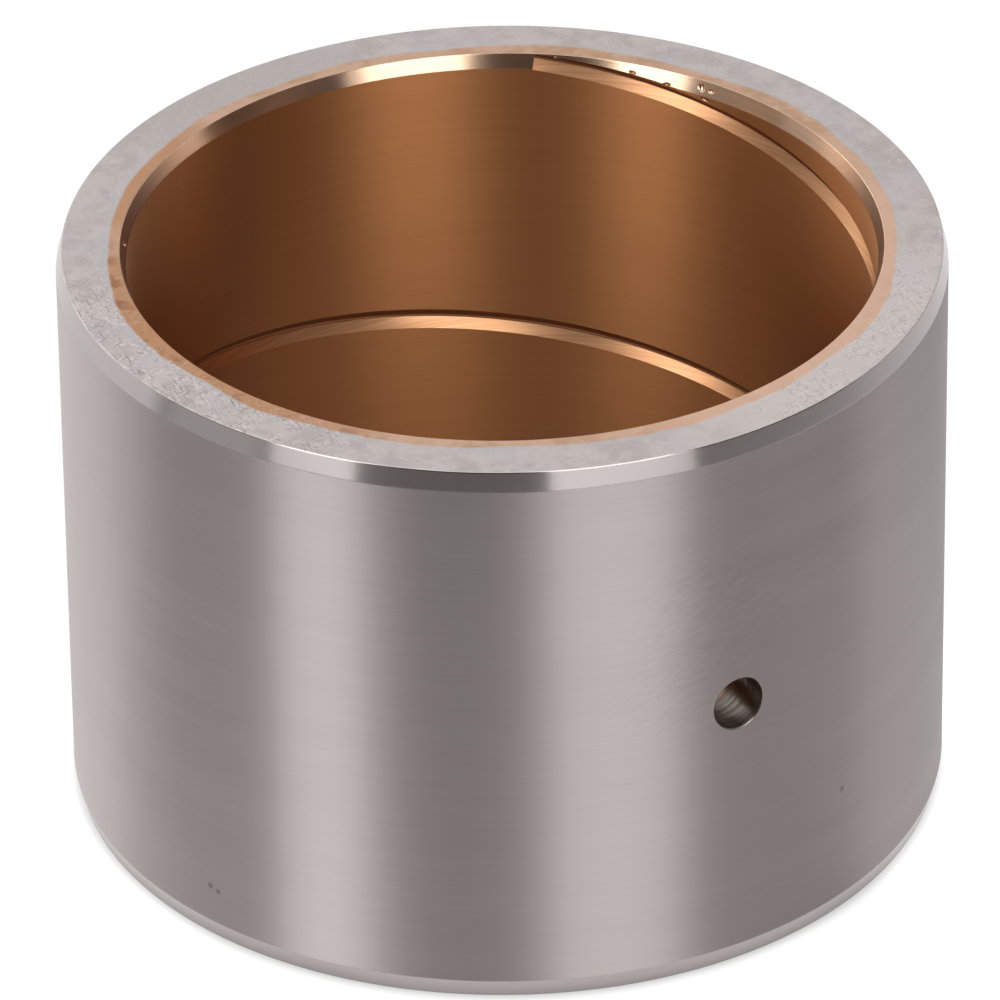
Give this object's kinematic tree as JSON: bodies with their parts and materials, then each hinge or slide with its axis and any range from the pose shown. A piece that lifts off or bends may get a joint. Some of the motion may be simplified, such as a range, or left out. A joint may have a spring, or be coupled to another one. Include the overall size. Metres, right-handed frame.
{
  "type": "steel-backed bronze bushing",
  "caption": "Plain cylindrical bushing: a steel shell lined with bronze, with a helical oil groove in the bore and a radial oil hole.",
  "frame": {"origin": "centre of the lower end face", "axes": "+Z along the bore axis, -Y towards the oil hole"},
  "size_m": [0.095, 0.095, 0.065],
  "materials": {
    "steel": "ground outside, faced ends with fine handling marks",
    "bronze": "fine-bored bronze, bright cut chamfer and groove"
  },
  "bodies": {
    "root": {"steel_shell": "steel", "bronze_lining": "bronze"}
  },
  "joints": []
}
